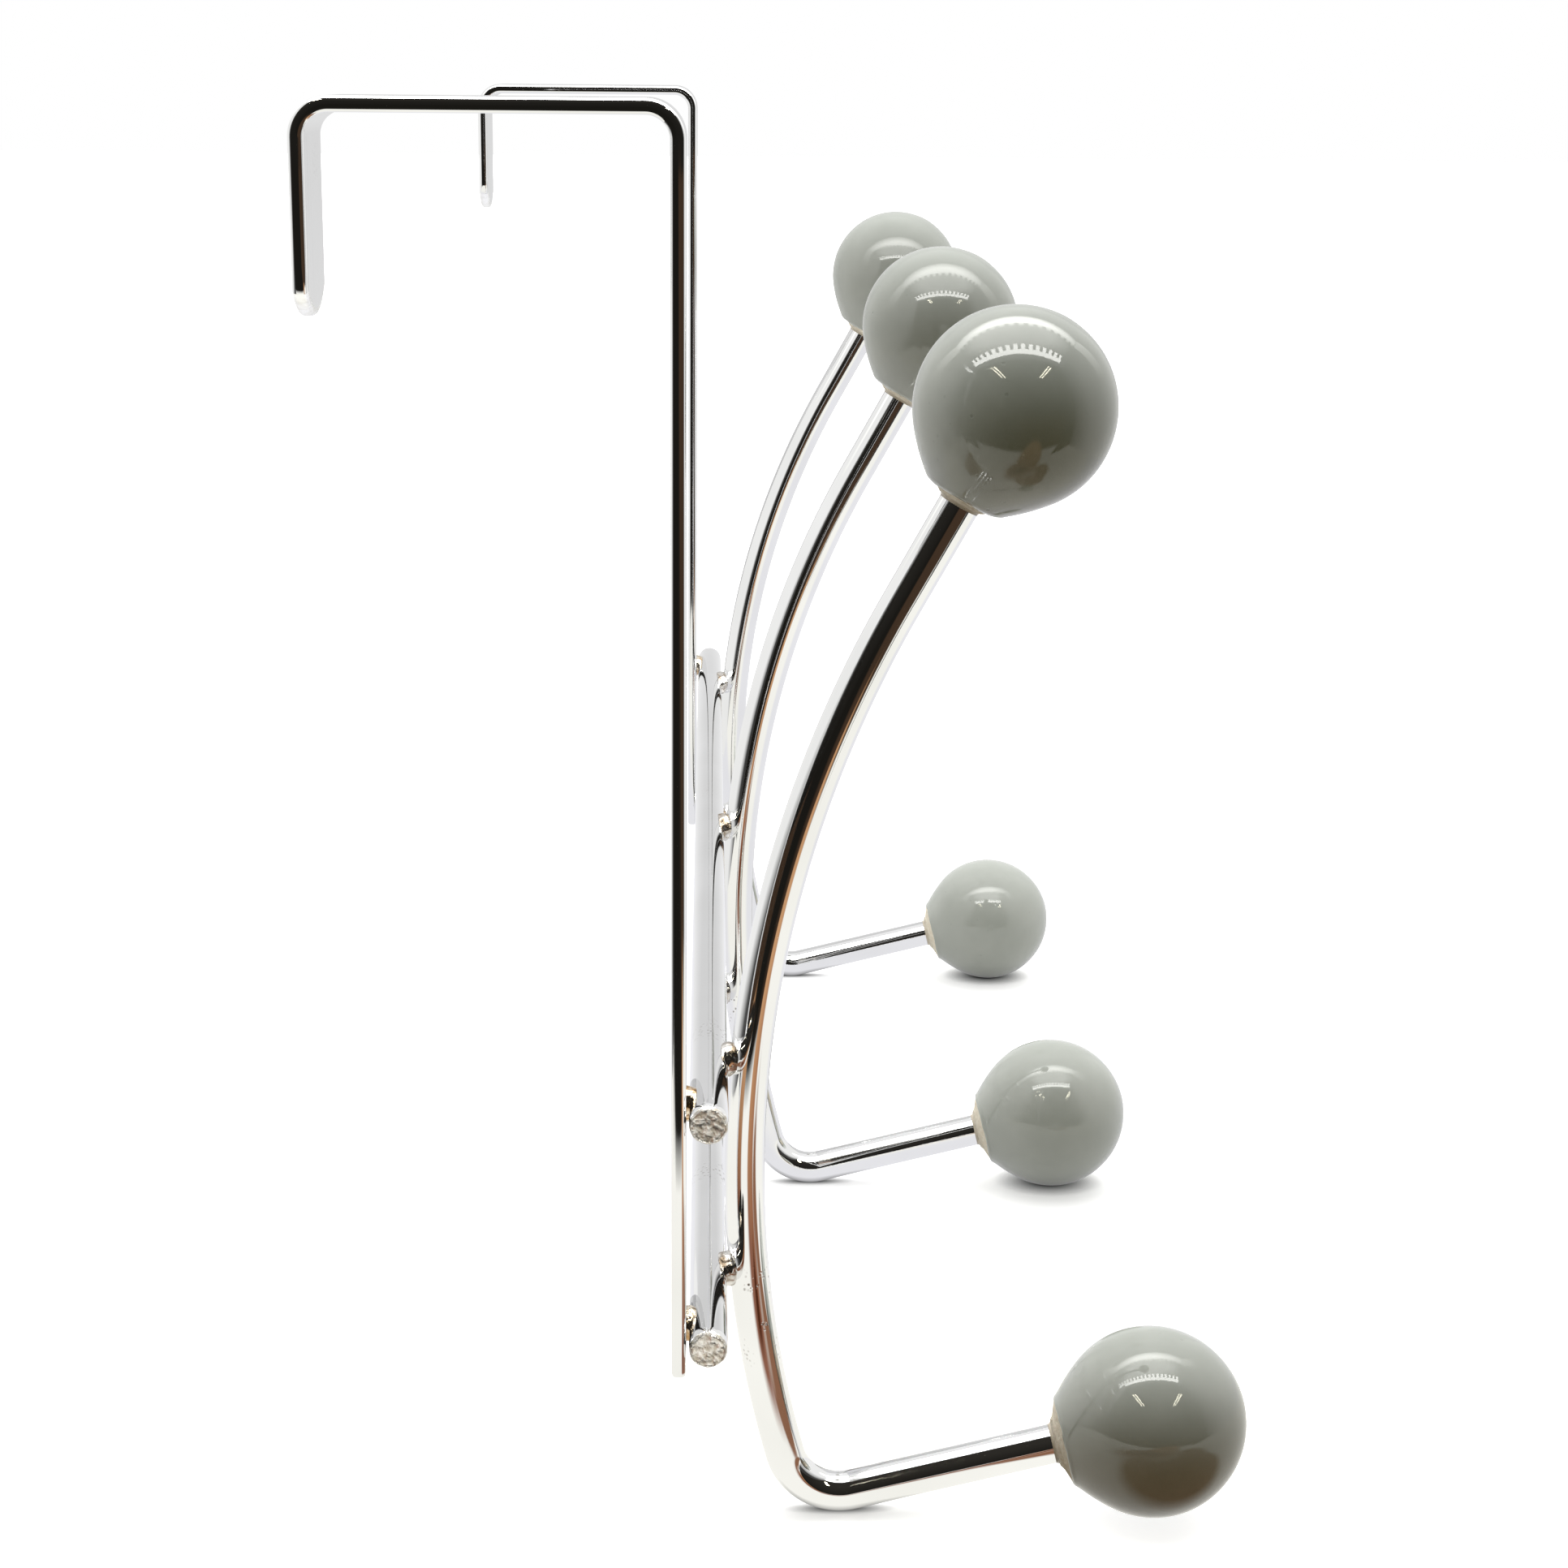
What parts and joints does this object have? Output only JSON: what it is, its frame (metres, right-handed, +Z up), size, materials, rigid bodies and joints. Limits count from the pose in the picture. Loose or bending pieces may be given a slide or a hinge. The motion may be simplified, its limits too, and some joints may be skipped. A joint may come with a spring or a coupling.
{
  "type": "over door hook",
  "caption": "Chromed rack that hangs on a door's top edge: bent strip brackets carry cross bars with swept wire hooks, tipped above and below with grey glazed balls.",
  "frame": {"origin": "middle of the door's top edge: on the underside of the top spans, midway between straps and lips and midway between the brackets", "axes": "+X along the cross bars, -Y out of the door's front face towards the hooks, +Z up"},
  "size_m": [0.279, 0.1174, 0.1824],
  "materials": {
    "chrome": "polished chrome plate",
    "glaze": "glossy grey glaze",
    "adhesive": "cured resin"
  },
  "bodies": {
    "root": {"left_door_bracket": "chrome", "right_door_bracket": "chrome", "upper_cross_bar": "chrome", "lower_cross_bar": "chrome", "left_hook_wire": "chrome", "middle_hook_wire": "chrome", "right_hook_wire": "chrome", "left_upper_ball": "glaze", "left_lower_ball": "glaze", "middle_upper_ball": "glaze", "middle_lower_ball": "glaze", "right_upper_ball": "glaze", "right_lower_ball": "glaze", "hook_welds": "chrome", "bracket_welds": "chrome", "ball_adhesive": "adhesive"}
  },
  "joints": []
}
